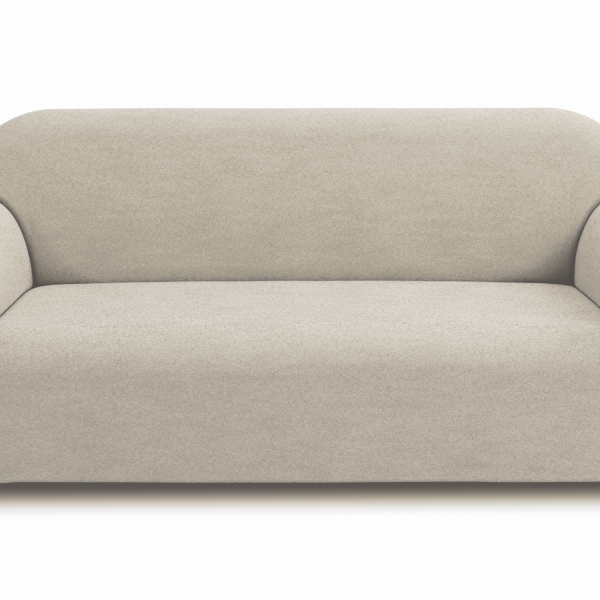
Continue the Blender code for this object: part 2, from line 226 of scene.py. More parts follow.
# (distance out from the cover's foot, colour) of the floor's painted contact shadow, fading to white further
# out
FLOOR_SHADE = (
    (-0.054, (0.08, 0.065, 0.047)),
    (-0.032, (0.092, 0.075, 0.055)),
    (-0.01, (0.146, 0.12, 0.09)),
    (0.012, (0.217, 0.178, 0.133)),
    (0.034, (0.318, 0.268, 0.203)),
    (0.055, (0.462, 0.409, 0.332)),
    (0.076, (0.693, 0.603, 0.5)),
    (0.097, (0.927, 0.857, 0.746)),
    (0.118, (1.098, 1.088, 1.088)),
    (0.138, (1.149, 1.139, 1.139)),
    (0.159, (1.24, 1.24, 1.24)),
    (0.186, (1.32, 1.32, 1.32)),
)

# (name, place, size, watts)
LIGHTS = (
    ("top", (0.0, -0.4, 3.6), 3.4, 112.0),
    ("behind", (2.9, 0.3, 3.1), 1.6, 66.0),
    ("key", (2.9, -0.9, 3.1), 1.6, 34.0),
    ("side", (3.7, -2.3, 2.4), 1.6, 45.0),
    ("side_high", (3.4, -0.6, 2.8), 0.8, 12.0),
)
LIGHT_AIM = (0.0, 0.0, 0.4)
# the brightness of the room's walls
WORLD = 0.7

# how brightness is shown: (brightness, part of white), the highlights pressed together
TONE = (
    (0.0, 0.0), (0.1, 0.1), (0.2, 0.2), (0.3, 0.3), (0.36, 0.36), (0.45, 0.446),
    (0.55, 0.5245), (0.65, 0.588), (0.75, 0.6395), (0.85, 0.683), (1.00, 0.76), (1.15, 0.88),
    (1.25, 0.955), (1.32, 0.985),
)
# the depth of the shadows in each colour: (part of white, shown as)
RED_SHADOWS = (
    (0.0, 0.06), (0.0867, 0.093), (0.15, 0.151), (0.195, 0.195), (0.254, 0.26), (0.31, 0.311),
)
GREEN_SHADOWS = (
    (0.0, 0.053), (0.0704, 0.082), (0.111, 0.121), (0.159, 0.168), (0.209, 0.226), (0.27, 0.273),
    (0.32, 0.319),
)
BLUE_SHADOWS = (
    (0.0, 0.047), (0.0513, 0.072), (0.114, 0.14), (0.15, 0.178), (0.2, 0.214), (0.25, 0.252),
    (0.3, 0.298),
)
# parts of white that no colour's curve changes
UNCHANGED = (0.45, 0.6, 0.75, 0.9)

CAMERA_PLACE = (-0.062, CREASE_Y - 4.6, 1.531)
# degrees, to the right and down
CAMERA_YAW = 0.68
CAMERA_PITCH = 14.34
# millimetres, on a sensor this wide
CAMERA_LENS = 98.4
CAMERA_SENSOR = 36


def graded(length, count, start=True, end=False):
    """count + 1 places from 0 to length, closer together toward the named ends."""
    places = np.linspace(0, length, GRADING_STEPS)
    spacing = np.ones_like(places)
    for wanted, away in ((start, places), (end, length - places)):
        if wanted:
            spacing = np.minimum(spacing, FINE_SHARE + (1 - FINE_SHARE) * away / FINE_ZONE)
    passed = np.r_[0, np.cumsum(2 / (spacing[1:] + spacing[:-1]))]
    return np.interp(np.linspace(0, passed[-1], count + 1), passed, places)


def hem_height(x, y):
    """Height of the hem: uneven along the front, level round the sides and the rear."""
    across, lift = zip(*FRONT_HEM)
    front = np.clip((-y - FRONT_HEM_START) / FRONT_HEM_BLEND, 0, 1)
    return REST_HEM + front * (np.interp(x, across, lift) - REST_HEM)


def face_depth(z):
    """How far back the inside back's face leans at a height."""
    h = (z - SEAT_HEIGHT) / (BACK_TOP - SEAT_HEIGHT)
    return BACK_RECLINE * (STEADY_RECLINE * h + (1 - STEADY_RECLINE) * np.maximum(h, 0) ** 2)


def outline_point(run):
    """The place on the back's outline a run past the end of its level top, and its outward normal."""
    arc = BACK_CORNER * math.pi / 2
    angle = math.pi / 2 - min(run, arc) / BACK_CORNER
    normal = np.array([math.cos(angle), math.sin(angle)])
    centre = np.array([BACK_HALF_WIDTH - BACK_CORNER, BACK_TOP - BACK_CORNER])
    return centre + BACK_CORNER * normal - [0, max(run - arc, 0)], normal


def outline_run(x, z):
    """The run at which the outline passes a place."""
    arc = BACK_CORNER * math.pi / 2
    across, up = x - BACK_HALF_WIDTH + BACK_CORNER, z - BACK_TOP + BACK_CORNER
    return arc - up if up <= 0 else BACK_CORNER * math.atan2(across, up)


def rim_distance(x, z):
    """How far a place lies in from the back's outline."""
    across, up = x - BACK_HALF_WIDTH + BACK_CORNER, z - BACK_TOP + BACK_CORNER
    if across > 0 and up > 0:
        return BACK_CORNER - math.hypot(across, up)
    return min(BACK_HALF_WIDTH - x, BACK_TOP - z)


def roll_back(distance, radius):
    """How far a round roll has turned back at a distance in from its edge."""
    reach = radius - min(max(distance, 0), radius)
    return radius - math.sqrt(radius * radius - reach * reach)


def slab_depth(z, distance):
    """Depth of the back's front at a height and a distance in from its outline. Its roll is elliptical."""
    return face_depth(z) + roll_back(distance, BACK_ROLL) * BACK_ROLL_DEPTH / BACK_ROLL


def arm_widths(y):
    """Half widths from the middle to an arm's inner face, its crest and its outer face."""
    inner = ARM_INNER_HALF - ARM_INNER_SPLAY * min(y, 0)
    outer = ARM_OUTER_HALF - ARM_OUTER_SPLAY * y
    share = ARM_INNER_WIDTH / (ARM_OUTER_HALF - ARM_INNER_HALF)
    return inner, inner + share * (outer - inner), outer


def arm_point(y, turn, inset=0.0):
    """(x, z) on an arm's section. turn: below 0 on the upright inner face, 0 to 1 rounding up to the
    crest, 1 to 2 over the outside, 2 to 3 straight down to the hem."""
    inner, crest, outer = arm_widths(y)
    spring = SEAT_HEIGHT + ARM_SPRING
    rise = ARM_TOP - spring
    side = ARM_TOP - ARM_OUTER_DROP
    if turn < 0:
        place, normal = (inner, spring + turn * rise), (-1, 0)
    elif turn <= 1:
        c, s = math.cos(turn * math.pi / 2), math.sin(turn * math.pi / 2)
        place = (crest - (crest - inner) * c, spring + rise * s)
        normal = (-c / (crest - inner), s / rise)
    elif turn < 2:
        c, s = math.sin((turn - 1) * math.pi / 2), math.cos((turn - 1) * math.pi / 2)
        place = (crest + (outer - crest) * c, side + ARM_OUTER_DROP * s)
        normal = (c / (outer - crest), s / ARM_OUTER_DROP)
    else:
        place, normal = (outer, side + (turn - 2) * (hem_height(outer, y) - side)), (1, 0)
    return np.array(place) - inset * np.array(normal) / math.hypot(*normal)


def turn_at_height(z):
    """The turn at which an arm's inner face reaches a height."""
    spring = SEAT_HEIGHT + ARM_SPRING
    rise = (z - spring) / (ARM_TOP - spring)
    return math.asin(min(rise, 1)) * 2 / math.pi if rise > 0 else rise


def turn_where(reached, y, inset=0.0):
    """The first turn, found by halving, at which the arm's section has reached a condition."""
    low, high = 0.3, 2.0
    for _ in range(HALVINGS):
        middle = (low + high) / 2
        if reached(*arm_point(y, middle, inset)):
            high = middle
        else:
            low = middle
    return (low + high) / 2


# --- seam lines ---
def crease_at_rim(distance):
    """Where the crease of arm and back passes a distance in from the back's outline: (x, y, z, turn)."""
    y = BACK_ROLL_DEPTH
    for _ in range(SETTLING_STEPS):
        turn = turn_where(lambda x, z: rim_distance(x, z) <= distance and x > ARM_INNER_HALF, y)
        x, z = arm_point(y, turn)
        y = slab_depth(z, distance)
    return x, y, z, turn


def back_arm_crease():
    """Where an arm runs into the back, from the seat to the back's side: rows of (x, y, z, turn)."""
    seat_turn, rim_turn = turn_at_height(SEAT_HEIGHT), crease_at_rim(BACK_ROLL)[3]
    rows = []
    for share in graded(CREASE_LENGTH, ARM_FACE_ROWS)[:-1] / CREASE_LENGTH:
        turn, y = seat_turn + (rim_turn - seat_turn) * share, 0.0
        for _ in range(SETTLING_STEPS):
            x, z = arm_point(y, turn)
            y = slab_depth(z, rim_distance(x, z))
        rows.append((x, y, z, turn))
    for k in range(ARM_RIM_ROWS + 1):
        lean = k / ARM_RIM_ROWS * math.pi / 2
        rows.append(crease_at_rim(BACK_ROLL * (1 - math.sin(lean))))
    return rows


def ridge_point(y, inset, arm_inset):
    """Where the back's side meets the arm's top at a depth: (x, y, z, turn)."""
    turn = turn_where(lambda x, z: x >= BACK_HALF_WIDTH - inset, y, arm_inset)
    x, z = arm_point(y, turn, arm_inset)
    return x, y, z, turn


def back_ridge(start_y):
    """The back's seam along an arm's top, to the rear panel: rows of (x, y, z, turn)."""
    length = REAR_PLANE - REAR_ROLL - start_y
    rows = [ridge_point(start_y + along, 0.0, 0.0) for along in graded(length, BACK_STEPS)[1:]]
    for degrees in TIGHT_ROLL_DEGREES:
        inset, ahead = rolled(degrees, REAR_ROLL)
        rows.append(ridge_point(REAR_PLANE - ahead, inset, inset))
    return rows


def rolled(degrees, radius):
    """How far in, and how far short of its end, a tight roll is when it has turned some degrees."""
    angle = math.radians(degrees)
    return radius * (1 - math.cos(angle)), radius * (1 - math.sin(angle))


def rear_turn(degrees, fall):
    """The same for the back's rear edge, which starts at the slope that the top's fall has reached."""
    start = math.atan(TOP_FALL_POWER * fall / (REAR_PLANE - REAR_ROLL - BACK_RECLINE))
    angle = start + (math.pi / 2 - start) * degrees / 90
    return REAR_ROLL * (math.cos(start) - math.cos(angle)), REAR_ROLL * (1 - math.sin(angle))


def rear_inset(y):
    """How far an arm's section shrinks in the tight roll at the rear."""
    return roll_back(REAR_PLANE - y, REAR_ROLL)


def seat_profile():
    """The seat's line along an arm, from the back to the front plane: rows of
    (y, z, normal y, normal z, arm inset)."""
    roll_start = SEAT_ROLL_DEPTH - SEAT_DEPTH
    rows = [(-along, SEAT_HEIGHT, 0.0, 1.0, 0.0) for along in graded(-roll_start, SEAT_ROWS)]
    arm_roll_start = math.asin(1 - ARM_FRONT_ROLL / SEAT_ROLL_DEPTH)
    angles = [(arm_roll_start * k / ROLL_ROWS, 0.0) for k in range(1, ROLL_ROWS + 1)]
    for degrees in TIGHT_ROLL_DEGREES:
        inset, ahead = rolled(degrees, ARM_FRONT_ROLL)
        angles.append((math.asin(1 - ahead / SEAT_ROLL_DEPTH), inset))
    for angle, inset in angles:
        ahead, down = SEAT_ROLL_DEPTH * math.sin(angle), SEAT_ROLL * (1 - math.cos(angle))
        out, up = SEAT_ROLL * math.sin(angle), SEAT_ROLL_DEPTH * math.cos(angle)
        size = math.hypot(out, up)
        rows.append((roll_start - ahead, SEAT_HEIGHT - down, -out / size, up / size, inset))
    return rows


def seat_bulge(q, drop=0.0):
    """How far the seat stands out at a share across, less as it drops to the hem."""
    crown = SEAT_CROWN * (1 - q * q) + SEAT_SIDE_DROP * (1 - q**SIDE_DROP_POWER)
    return crown * (1 - BULGE_FADE * drop)


def column_shares():
    """Places across the seat, from -1 to 1, closer together near the arms."""
    width = 2 * ARM_INNER_HALF
    return graded(width, SEAT_COLUMNS, True, True) / width * 2 - 1


# --- panel grids ---
def resampled(path, places):
    """The points of a path at places along its length."""
    path = np.array(path)
    along = np.r_[0, np.cumsum(np.linalg.norm(np.diff(path, axis=0), axis=1))]
    return [tuple(np.interp(p, along, path[:, axis]) for axis in range(3)) for p in places]


def over_the_back(start, run=None, top_x=None, lean=0.0):
    """One strip of the inside back, from its seam at start (x, z) to the rear panel's seam."""
    if top_x is None:
        rim, normal = outline_point(run)
    else:
        rim, normal = np.array([top_x, BACK_TOP]), np.array([0.0, 1.0])
    start, roll_start = np.array(start), rim - BACK_ROLL * normal
    flat_steps, roll_steps, top_steps = STRIP_STEPS
    pieces = []
    if lean == 0:
        share = np.linspace(0, 1, flat_steps)[:-1, None]
        flat = start + share * (roll_start - start)
        pieces.append(np.c_[flat[:, 0], face_depth(flat[:, 1]), flat[:, 1]])
    angle = np.linspace(lean, math.pi / 2, roll_steps)[:, None]
    across = rim - BACK_ROLL * (1 - np.sin(angle)) * normal
    depth = face_depth(across[:, 1]) + BACK_ROLL_DEPTH * (1 - np.cos(angle[:, 0]))
    pieces.append(np.c_[across[:, 0], depth, across[:, 1]])
    share = np.linspace(0, 1, top_steps)[1:, None]
    fall = TOP_FALL * normal[1]
    top = rim - fall * share**TOP_FALL_POWER * normal
    top_y, end_y = depth[-1], REAR_PLANE - rear_turn(0, fall)[1]
    pieces.append(np.c_[top[:, 0], top_y + share[:, 0] * (end_y - top_y), top[:, 1]])
    path = np.concatenate(pieces)
    length = np.linalg.norm(np.diff(path, axis=0), axis=1).sum()
    strip = resampled(path, graded(length, BACK_STEPS))
    for degrees in TIGHT_ROLL_DEGREES:
        inset, ahead = rear_turn(degrees, fall)
        x, z = rim - (fall + inset) * normal
        strip.append((x, REAR_PLANE - ahead, z))
    return strip


def mirrored(points):
    """The same points on the other side of the middle."""
    return [(-x, y, z) for x, y, z in points]


def inside_back_grid(crease, ridge):
    """The inside back's strips, from its left side across to its right side."""
    side = [[crease[-1][:3]] + [row[:3] for row in ridge]]
    for k in range(ARM_RIM_ROWS - 1, 0, -1):
        x, _, z, _ = crease[ARM_FACE_ROWS + k]
        side.append(over_the_back((x, z), outline_run(x, z), lean=k / ARM_RIM_ROWS * math.pi / 2))
    x, _, z, _ = crease[ARM_FACE_ROWS]
    crest_run, rows = outline_run(x, z), ARM_FACE_ROWS
    for k in range(rows, -1, -1):
        x, _, z, _ = crease[k]
        share = (crease[k][3] - crease[0][3]) / (crease[rows][3] - crease[0][3])
        side.append(over_the_back((x, z), crest_run * share))
    middle = []
    for q in column_shares()[1:-1]:
        start = (q * ARM_INNER_HALF, SEAT_HEIGHT + seat_bulge(q))
        middle.append(over_the_back(start, top_x=q * (BACK_HALF_WIDTH - BACK_CORNER)))
    return [mirrored(strip) for strip in side] + middle + side[::-1]


def seat_front_grid(profile):
    """The seat's rows from the back to its front roll, and on down to the hem."""
    rows = []
    for y, z, normal_y, normal_z, inset in profile:
        edge = arm_point(y, turn_at_height(z), inset)[0]
        row = []
        for q in column_shares():
            bulge = seat_bulge(q)
            settle = face_depth(z + bulge) if y == 0 else 0.0
            row.append((q * edge, y + settle + normal_y * bulge, z + normal_z * bulge))
        rows.append(row)
    front_y, edge_z = profile[-1][0], profile[-1][1]
    for k in range(1, DROP_ROWS + 1):
        row = []
        for q in column_shares():
            x = q * edge
            z = edge_z + (hem_height(x, front_y) - edge_z) * k / DROP_ROWS
            row.append((x, front_y - seat_bulge(q, k / DROP_ROWS), z))
        rows.append(row)
    return rows


def outer_turn(start, step):
    """The turn of a row over an arm's outside, counted from the row along the back's side."""
    if step <= ARM_OUTER_ROWS:
        return start + (2 - start) * step / ARM_OUTER_ROWS
    return 2 + (step - ARM_OUTER_ROWS) / ARM_SIDE_ROWS


def arm_wrap_grid(crease, ridge, profile):
    """The right arm's panel. Its first rows stop at the back's crease; the rest run to the rear."""
    ridge_row, seat_turn, top_turn = len(crease) - 1, crease[0][3], crease[-1][3]
    roll_start = SEAT_ROLL_DEPTH - SEAT_DEPTH
    grid = []
    for i in range(ridge_row + ARM_OUTER_ROWS + ARM_SIDE_ROWS + 1):
        row = []
        for _, y, _, turn in ridge[::-1]:
            if i < ridge_row:
                row.append(None)
                continue
            x, z = arm_point(y, outer_turn(turn, i - ridge_row), rear_inset(y))
            row.append((x, y, z))
        for y, z, _, _, inset in profile:
            start = turn_at_height(z)
            if i <= ridge_row:
                turn = start + (top_turn - start) * (crease[i][3] - seat_turn) / (top_turn - seat_turn)
                back_y = crease[i][1]
            else:
                turn = outer_turn(top_turn, i - ridge_row)
                back_y = crease[-1][1]
            place_y = y + max(1 - y / roll_start, 0) * back_y
            x, z = arm_point(place_y, turn, inset)
            row.append((x, place_y, z))
        grid.append(row)
    return grid


# --- panels as point lists ---
class Panel:
    """A panel's points, faces and cloth coordinates (both in metres), and its edges by name. The grain
    is the cloth's coordinates with its depth drawn out, as the knit is when it's stretched over."""

    def __init__(self, node, points, faces, cloth, grain=None):
        self.node, self.points, self.faces, self.cloth = node, np.array(points), faces, np.array(cloth)
        self.grain = self.cloth.copy() if grain is None else np.array(grain)
        self.edges = {}

    def normals(self):
        """The outward unit normal at each point."""
        total = np.zeros_like(self.points)
        for size in {len(face) for face in self.faces}:
            ring = np.array([face for face in self.faces if len(face) == size])
            spots = self.points[ring]
            across = spots[:, 2] - spots[:, 0]
            other = spots[:, size - 1] - spots[:, 1] if size == 4 else spots[:, 1] - spots[:, 0]
            turned = np.cross(across, other) if size == 4 else np.cross(other, across)
            for corner in range(size):
                np.add.at(total, ring[:, corner], turned)
        return total / np.maximum(np.linalg.norm(total, axis=1), 1e-12)[:, None]


def grid_panel(node, grid, across, draw):
    """A panel from rows of points, some of them missing. across(point) is the first cloth coordinate;
    the second is the length passed along each column."""
    number, points, faces, cloth, grain = {}, [], [], [], []
    for i, row in enumerate(grid):
        for j, point in enumerate(row):
            if point is not None:
                number[i, j] = len(points)
                points.append(point)
                above = number.get((i - 1, j))
                passed = drawn = 0.0
                if above is not None:
                    x, y, z = np.array(point) - points[above]
                    passed = cloth[above][1] + math.sqrt(x * x + y * y + z * z)
                    drawn = grain[above][1] + math.sqrt(x * x + (y / DEPTH_DRAW) ** 2 + z * z)
                cloth.append((across(point), passed))
                grain.append((across(point) / draw, drawn))
    for i in range(len(grid) - 1):
        for j in range(len(grid[0]) - 1):
            corners = [(i, j), (i + 1, j), (i + 1, j + 1), (i, j + 1)]
            if all(corner in number for corner in corners):
                faces.append([number[corner] for corner in corners])
    panel = Panel(node, points, faces, cloth, grain)
    panel.number = number
    return panel


def mirror_panel(panel, node):
    """The other side's panel, with the same edges."""
    faces = [face[::-1] for face in panel.faces]
    flip = [-1, 1]
    other = Panel(node, panel.points * [-1, 1, 1], faces, panel.cloth * flip, panel.grain * flip)
    other.edges = dict(panel.edges)
    return other


def flat_panel(node, outline, plane_y, faces_front):
    """An upright flat panel inside an outline of (x, z), filled with evenly spread points."""
    ring = np.array(outline)
    area = np.sum(ring[:, 0] * np.roll(ring[:, 1], -1) - np.roll(ring[:, 0], -1) * ring[:, 1])
    order = np.arange(len(ring)) if area > 0 else np.arange(len(ring))[::-1]
    low, high = ring.min(axis=0), ring.max(axis=0)
    inner = []
    for k, z in enumerate(np.arange(low[1], high[1], FLAT_SPACING * ROW_SHARE)):
        for x in np.arange(low[0] + (k % 2) * FLAT_SPACING / 2, high[0], FLAT_SPACING):
            inner.append((x, z))
    inner = np.array(inner)
    closed = np.vstack([ring, ring[:1]])
    away, _, _ = nearest_on_line(np.c_[inner, np.zeros(len(inner))], np.c_[closed, np.zeros(len(closed))])
    inner = inner[away > FLAT_SPACING * EDGE_SHARE]
    spots = [Vector(spot) for spot in np.vstack([ring, inner])]
    edges = [(int(a), int(b)) for a, b in zip(order, np.roll(order, -1))]
    points, _, faces, origin, _, _ = delaunay_2d_cdt(spots, edges, [], 1, 1e-9)
    placed = np.array([(x, plane_y, z) for x, z in points])
    faces = [list(face) if faces_front else list(face)[::-1] for face in faces]
    panel = Panel(node, placed, faces, [(x, z) for x, z in points])
    place_of = {old: new for new, olds in enumerate(origin) for old in olds}
    panel.ring = [place_of[k] for k in range(len(ring))]
    return panel


def nearest_on_line(points, line):
    """For each point: the distance to a line of points, and where the nearest place on it is."""
    tree = KDTree(len(line))
    for k, spot in enumerate(line):
        tree.insert(spot, k)
    tree.balance()
    near = np.array([tree.find(spot)[1] for spot in points])
    best, leg, share = np.full(len(points), 1e9), np.zeros(len(points), int), np.zeros(len(points))
    for step in (-1, 0):
        k = np.clip(near + step, 0, len(line) - 2)
        start, ahead = line[k], line[k + 1] - line[k]
        t = ((points - start) * ahead).sum(axis=1) / np.maximum((ahead * ahead).sum(axis=1), 1e-18)
        t = np.clip(t, 0, 1)
        away = np.linalg.norm(points - start - t[:, None] * ahead, axis=1)
        closer = away < best
        best, leg, share = np.where(closer, away, best), np.where(closer, k, leg), np.where(closer, t, share)
    return best, leg, share


def make_panels():
    """All seven panels, with the edges that their seams join named."""
    crease = back_arm_crease()
    ridge, profile = back_ridge(crease[-1][1]), seat_profile()
    back_rows = inside_back_grid(crease, ridge)
    seat_rows = seat_front_grid(profile)
    wrap_rows = arm_wrap_grid(crease, ridge, profile)

    back = grid_panel("inside_back", [list(row) for row in zip(*back_rows)], lambda p: p[0], 1.0)
    back.faces = [face[::-1] for face in back.faces]
    seat = grid_panel("seat_front", seat_rows, lambda p: p[0], 1.0)
    wrap = grid_panel("arm_wrap_right", [row[::-1] for row in wrap_rows], lambda p: p[1], ARM_DRAW)

    strips, last = len(back_rows), len(back_rows[0]) - 1
    corner = len(crease) - 1
    right = [back.number[0, strips - 1 - corner + k] for k in range(corner + 1)]
    left = [back.number[0, corner - k] for k in range(corner + 1)]
    back.edges = {
        "crease_right": right,
        "crease_left": left,
        "seat": [back.number[0, k] for k in range(corner, strips - corner)],
        "rear": [back.number[last, k] for k in range(strips)],
    }
    columns, drop = len(seat_rows[0]) - 1, len(profile) - 1
    seat.edges = {"back": [seat.number[0, k] for k in range(columns + 1)]}
    for side, strip, column in (("right", strips - 1, columns), ("left", 0, 0)):
        back.edges["ridge_" + side] = [back.number[k, strip] for k in range(last + 1)]
        beside_arm = [seat.number[k, column] for k in range(len(seat_rows))]
        seat.edges["arm_" + side] = beside_arm[: drop + 1]
        seat.edges["front_" + side] = beside_arm[drop:]
    wide, high = len(wrap_rows[0]) - 1, len(wrap_rows) - 1
    start = wide - len(ridge)
    wrap.edges = {
        "crease": [wrap.number[k, start] for k in range(corner + 1)],
        "ridge": [wrap.number[corner, start + k] for k in range(len(ridge) + 1)],
        "seat": [wrap.number[0, start - k] for k in range(len(profile))],
        "front": [wrap.number[k, 0] for k in range(high + 1)],
        "rear": [wrap.number[k, wide] for k in range(corner, high + 1)],
    }
    arm_rear = [wrap.points[k] for k in wrap.edges["rear"]][::-1]
    back_rear = [back.points[k] for k in back.edges["rear"]][1:-1]
    seam = [(-x, z) for x, _, z in arm_rear] + [(x, z) for x, _, z in back_rear]
    seam += [(x, z) for x, _, z in arm_rear[::-1]]
    ends = np.linspace(seam[-1][0], seam[0][0], REAR_HEM_STEPS + 1)[1:-1]
    rear = flat_panel("outside_back", seam + [(x, REST_HEM) for x in ends], REAR_PLANE, False)
    count = len(arm_rear)
    rear.edges = {
        "arm_left": rear.ring[:count][::-1],
        "back": rear.ring[count - 1 : len(seam) - count + 1],
        "arm_right": rear.ring[len(seam) - count : len(seam)],
    }
    arm_line = [wrap.points[k] for k in wrap.edges["front"]]
    seat_line = [seat.points[k] for k in seat.edges["front_right"]][1:]
    outline = [(x, z) for x, _, z in arm_line] + [(x, z) for x, _, z in seat_line[::-1]]
    inner_x, outer_x = outline[len(arm_line)][0], outline[len(arm_line) - 1][0]
    bottom = np.linspace(inner_x, outer_x, ARM_HEM_STEPS)[1:-1][::-1]
    hem = [(x, float(hem_height(x, -SEAT_DEPTH))) for x in bottom]
    ring = outline[: len(arm_line)] + hem + outline[len(arm_line) :]
    fronts = []
    for side, name in ((1, "right"), (-1, "left")):
        front = flat_panel("arm_front_" + name, [(side * x, z) for x, z in ring], -SEAT_DEPTH, True)
        reached = len(arm_line) + len(hem)
        front.edges = {
            "arm": front.ring[: len(arm_line)],
            "seat": [front.ring[0]] + front.ring[reached:][::-1],
        }
        fronts.append(front)
    wraps = [wrap, mirror_panel(wrap, "arm_wrap_left")]
    return back, seat, wraps, rear, fronts


# --- seams, tucks and slack ---
def seam_list(back, seat, wraps, rear, fronts):
    """Each seam: its two panels, each with its edge, and how the cloth is drawn in there."""
    seams = [
        (seat, "back", back, "seat", *SEAT_CREASE),
        (back, "rear", rear, "back", *PLAIN_SEAM),
    ]
    rows = zip(("right", "left"), wraps, fronts, ARM_CREASES, ARM_SEATS)
    for side, wrap, front, arm_crease, arm_seat in rows:
        seams += [
            (back, "crease_" + side, wrap, "crease", *arm_crease),
            (back, "ridge_" + side, wrap, "ridge", *BACK_RIDGE),
            (seat, "arm_" + side, wrap, "seat", *arm_seat),
            (seat, "front_" + side, front, "seat", *PLAIN_SEAM),
            (wrap, "front", front, "arm", *PLAIN_SEAM),
            (wrap, "rear", rear, "arm_" + side, *PLAIN_SEAM),
        ]
    return seams


def smoothed(values, turns):
    """Rows of values, each one eased toward its neighbours a number of times."""
    for _ in range(turns):
        middle = (values[:-2] + 2 * values[1:-1] + values[2:]) / 4
        values = np.vstack([values[:1], middle, values[-1:]])
    return values


def roll_dip(share):
    """The dip of a quarter-round roll, from 1 in the seam to 0 at its reach."""
    rest = 1 - np.clip(share, 0, 1)
    return 1 - np.sqrt(1 - rest * rest)


def tuck_seams(panels, seams):
    """Moves the cloth near each seam in toward it: a quarter-round dip whose floor is the seam."""
    normals = {panel: panel.normals() for panel in panels}
    moves = {panel: np.zeros_like(panel.points) for panel in panels}
    for first, first_edge, second, second_edge, depth, first_reach, second_reach, groove in seams:
        a, b = first.edges[first_edge], second.edges[second_edge]
        line = first.points[a]
        second_share = 1.0 if second_edge != "crease" else ARM_SHARE
        inward = -(normals[first][a] + second_share * normals[second][b])
        inward = smoothed(inward, INWARD_SMOOTHING)
        inward /= np.linalg.norm(inward, axis=1)[:, None]
        for panel in panels:
            reach = {first: first_reach, second: second_reach}.get(panel, min(first_reach, second_reach))
            low, high = line.min(axis=0) - reach, line.max(axis=0) + reach
            spots = np.flatnonzero(((panel.points >= low) & (panel.points <= high)).all(axis=1))
            if not len(spots):
                continue
            away, leg, share = nearest_on_line(panel.points[spots], line)
            spots, away, leg, share = (part[away < reach] for part in (spots, away, leg, share))
            width = GROOVE_WIDE if panel is first else GROOVE_NARROW
            dip = depth * roll_dip(away / reach) + groove * roll_dip(away / width)
            next_leg = np.minimum(leg + 1, len(line) - 1)
            way = inward[leg] * (1 - share)[:, None] + inward[next_leg] * share[:, None]
            moves[panel][spots] += dip[:, None] * way
    for panel in panels:
        panel.points += moves[panel]


def sink_corners(panels):
    """Tucks in a pocket where each arm, the seat and the back meet, and shapes the seat's corners."""
    for panel in panels:
        x, y, z = panel.points.T.copy()
        for side, half_width, height, depth, power, spread in POCKETS:
            across = np.clip((ARM_INNER_HALF - x * side) / half_width, 0, 1)
            up = np.clip((z - SEAT_HEIGHT) / height, 0, 1)
            share = np.clip(1 - across**POCKET_HOLLOW - up**POCKET_HOLLOW, 0, 1) ** power
            near = np.clip(1 + y / POCKET_REACH, 0, 1) ** 2
            near *= np.clip(2 - y / POCKET_REAR, 0, 1)
            near *= np.clip((POCKET_SIDE - x * side) / POCKET_REACH, 0, 1)
            back = depth * share * near
            panel.points[:, 0] += spread * back * side
            panel.points[:, 1] += back
            panel.points[:, 2] -= POCKET_FALL * back * (1 - up)
        low = np.clip(1 - (z - SEAT_HEIGHT - CORNER_TOP) / CORNER_FADE, 0, 1)
        for side, reach, ahead, depth in CORNER_DROPS:
            across = (ARM_INNER_HALF - x * side) / reach
            far = np.clip(1 - np.maximum(across, 0), 0, 1) ** CORNER_POWER
            near = np.clip(1 + y / ahead, 0, 1) ** 2
            panel.points[:, 2] -= depth * far * near * low
        for side, across, ahead, rise in FULL_CORNERS:
            beside, along = (x * side - FULL_ACROSS) / across, (y + FULL_AHEAD) / ahead
            panel.points[:, 2] += rise * np.exp(-(beside**2) - along**2) * low


def soft_noise(places, size, shift):
    """Smooth noise from about -1 to 1 at places on the cloth, with swells of a size."""
    return np.array([noise.noise(Vector((u / size + shift, v / size - shift, shift))) for u, v in places])


def add_slack(panels):
    """The cloth's unevenness: soft swells all over, and the placed ridges and troughs of FOLDS."""
    for number, panel in enumerate(panels):
        height = np.zeros(len(panel.points))
        for size, rise in SWELLS:
            shift = SWELL_PANEL_SHIFT * number + SWELL_SIZE_SHIFT * size
            height += rise * soft_noise(panel.cloth, size, shift)
        for node, axes, folds in FOLDS:
            if node != panel.node:
                continue
            view = panel.points[:, axes]
            for start, end, width, rise in folds:
                start, ahead = np.array(start), np.subtract(end, start)
                share = np.clip(((view - start) @ ahead) / ahead.dot(ahead), 0, 1)
                away = np.linalg.norm(view - start - share[:, None] * ahead, axis=1)
                fade = np.sin(math.pi * np.clip(share, FOLD_ENDS, 1 - FOLD_ENDS)) ** FOLD_POWER
                height += rise * fade * np.exp(-((away / width) ** 2))
        above_hem = panel.points[:, 2] - hem_height(panel.points[:, 0], panel.points[:, 1])
        height += HEM_FLARE * np.clip(1 - above_hem / HEM_BAND, 0, 1) ** 2
        panel.points += height[:, None] * panel.normals()


def stitch(panels, seams):
    """Brings the edges that share a seam together, easing the cloth beside them."""
    for _ in range(STITCH_ROUNDS):
        shifts = {panel: {} for panel in panels}
        for first, first_edge, second, second_edge, *_ in seams:
            for a, b in zip(first.edges[first_edge], second.edges[second_edge]):
                middle = (first.points[a] + second.points[b]) / 2
                shifts[first].setdefault(a, []).append(middle - first.points[a])
                shifts[second].setdefault(b, []).append(middle - second.points[b])
        for panel, found in shifts.items():
            ends = list(found)
            shift = np.array([np.mean(found[k], axis=0) for k in ends])
            tree = KDTree(len(ends))
            for k, end in enumerate(ends):
                tree.insert(panel.points[end], k)
            tree.balance()
            moved = panel.points.copy()
            for index, spot in enumerate(panel.points):
                _, k, away = tree.find(spot)
                if away < STITCH_REACH:
                    moved[index] += shift[k] * (1 - away / STITCH_REACH) ** 2
            panel.points = moved


def make_cloth():
    """The finished panels, in their places."""
    back, seat, wraps, rear, fronts = make_panels()
    panels = [back, seat, *wraps, rear, *fronts]
    seams = seam_list(back, seat, wraps, rear, fronts)
    add_slack(panels)
    tuck_seams(panels, seams)
    sink_corners(panels)
    stitch(panels, seams)
    for panel in panels:
        panel.points[:, 1] += CREASE_Y
    return panels


# --- objects ---
def add_object(name, data):
    """A new object in the scene."""
    made = bpy.data.objects.new(name, data)
    bpy.context.scene.collection.objects.link(made)
    return made


